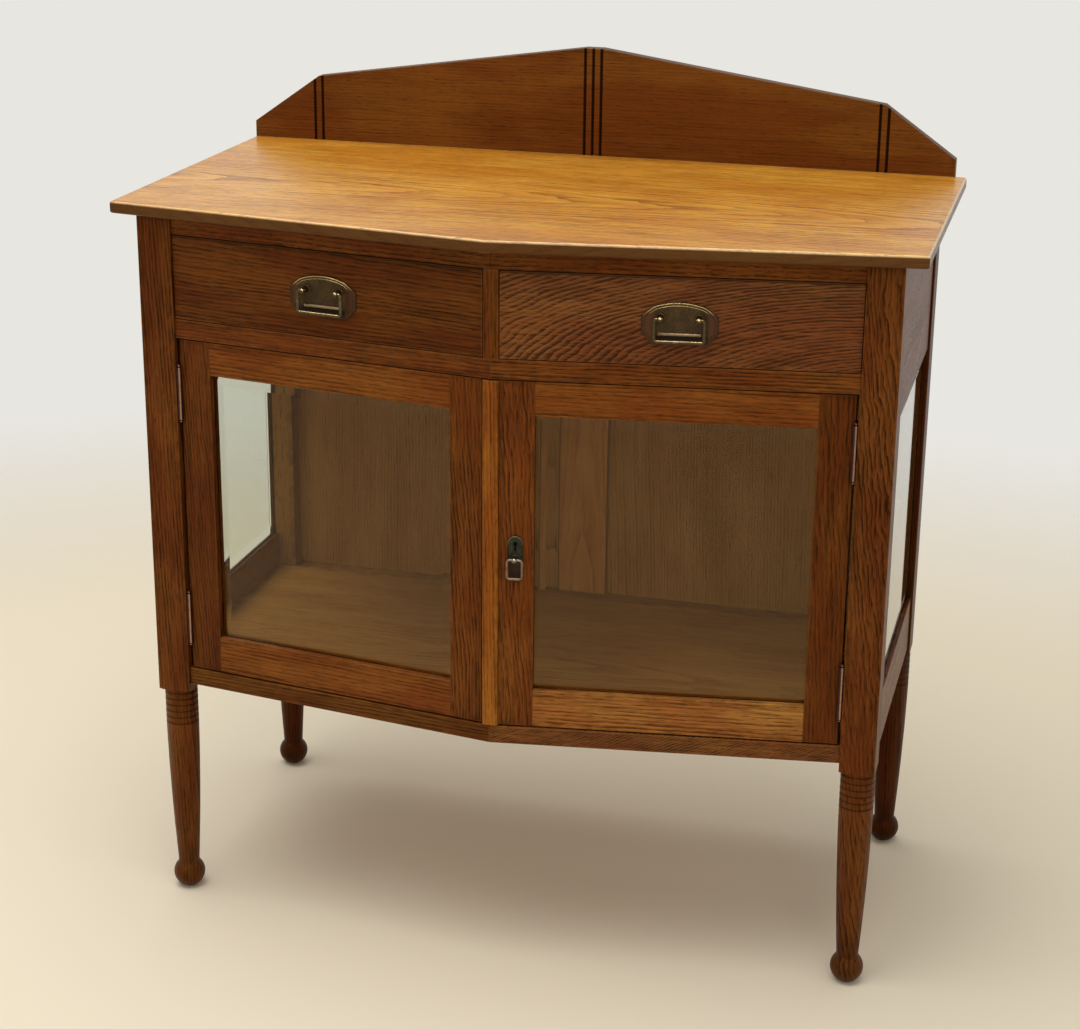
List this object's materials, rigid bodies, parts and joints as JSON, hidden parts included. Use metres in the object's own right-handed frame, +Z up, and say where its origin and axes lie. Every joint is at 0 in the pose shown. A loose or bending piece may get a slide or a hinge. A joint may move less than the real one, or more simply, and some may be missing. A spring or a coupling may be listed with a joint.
{
  "type": "chiffonier",
  "caption": "Glazed oak chiffonier with a shallow canted front: gallery back, drawers with brass bail pulls, bevelled-glass doors and reeded tapering legs on ball feet.",
  "frame": {"origin": "on the floor, under the middle of the overall box", "axes": "+X to the right seen from the front, -Y to the front, +Z up"},
  "size_m": [0.958, 0.544, 1.053],
  "materials": {
    "oak_stained": "stained oak, satin french polish",
    "oak_top": "honey oak, worn gloss polish",
    "oak_plain": "plain oak, unpolished",
    "brass_aged": "aged brass, dark patina",
    "glass_clear": "clear bevelled glass",
    "steel": "bright steel screw"
  },
  "bodies": {
    "carcass": {"front_left_leg": "oak_stained", "front_right_leg": "oak_stained", "back_left_leg": "oak_stained", "back_right_leg": "oak_stained", "gallery_board": "oak_stained", "top_rail": "oak_stained", "left_middle_rail": "oak_stained", "right_middle_rail": "oak_stained", "left_base_rail": "oak_stained", "right_base_rail": "oak_stained", "drawer_divider": "oak_stained", "top_board": "oak_top", "gallery_screws": "steel", "back_top_rail": "oak_plain", "back_bottom_rail": "oak_plain", "back_panels": "oak_plain", "back_muntin": "oak_plain", "cupboard_floor": "oak_plain", "dust_board": "oak_plain", "deck_bearers": "oak_plain", "drawer_guides": "oak_plain", "left_side_panel": "oak_stained", "left_side_middle_rail": "oak_stained", "left_side_bottom_rail": "oak_stained", "left_side_glass": "glass_clear", "right_side_panel": "oak_stained", "right_side_middle_rail": "oak_stained", "right_side_bottom_rail": "oak_stained", "right_side_glass": "glass_clear", "post_hinge_leaves": "brass_aged", "hinge_pins": "brass_aged"},
    "left_drawer": {"left_drawer_front": "oak_stained", "left_drawer_sides": "oak_plain", "left_drawer_back": "oak_plain", "left_drawer_bottom": "oak_plain", "left_pull_plate": "brass_aged"},
    "left_bail": {"left_drawer_bail": "brass_aged"},
    "left_door": {"left_door_hinge_stile": "oak_stained", "left_door_meeting_stile": "oak_stained", "left_door_top_rail": "oak_stained", "left_door_bottom_rail": "oak_stained", "left_door_glass": "glass_clear", "left_door_glazing_beads": "oak_plain", "left_door_hinge_leaves": "brass_aged"},
    "right_drawer": {"right_drawer_front": "oak_stained", "right_drawer_sides": "oak_plain", "right_drawer_back": "oak_plain", "right_drawer_bottom": "oak_plain", "right_pull_plate": "brass_aged"},
    "right_bail": {"right_drawer_bail": "brass_aged"},
    "right_door": {"right_door_hinge_stile": "oak_stained", "right_door_meeting_stile": "oak_stained", "right_door_top_rail": "oak_stained", "right_door_bottom_rail": "oak_stained", "right_door_glass": "glass_clear", "right_door_glazing_beads": "oak_plain", "right_door_hinge_leaves": "brass_aged", "closing_bead": "oak_top", "drop_plate": "brass_aged"},
    "ring": {"drop_ring": "brass_aged"}
  },
  "joints": [
    {"name": "left_drawer_slide", "type": "slide", "parent": "carcass", "child": "left_drawer", "axis": [0, -1, 0], "range_m": [0, 0.3]},
    {"name": "left_bail_hinge", "type": "hinge", "parent": "left_drawer", "child": "left_bail", "pos_m": [-0.21156, -0.22403, 0.82795], "axis": [-0.9895, 0.1445, 0], "range_deg": [0, 95]},
    {"name": "left_door_hinge", "type": "hinge", "parent": "carcass", "child": "left_door", "pos_m": [-0.4075, -0.18582, 0.533], "axis": [0, 0, -1], "range_deg": [0, 95]},
    {"name": "right_drawer_slide", "type": "slide", "parent": "carcass", "child": "right_drawer", "axis": [0, -1, 0], "range_m": [0, 0.3]},
    {"name": "right_bail_hinge", "type": "hinge", "parent": "right_drawer", "child": "right_bail", "pos_m": [0.21156, -0.22403, 0.82795], "axis": [-0.9895, -0.1445, 0], "range_deg": [0, 95]},
    {"name": "right_door_hinge", "type": "hinge", "parent": "carcass", "child": "right_door", "pos_m": [0.4075, -0.18582, 0.533], "axis": [0, 0, 1], "range_deg": [0, 95]},
    {"name": "drop_ring_hinge", "type": "hinge", "parent": "right_door", "child": "ring", "pos_m": [0.03027, -0.24645, 0.533], "axis": [-0.9895, -0.1445, 0], "range_deg": [0, 95]}
  ]
}
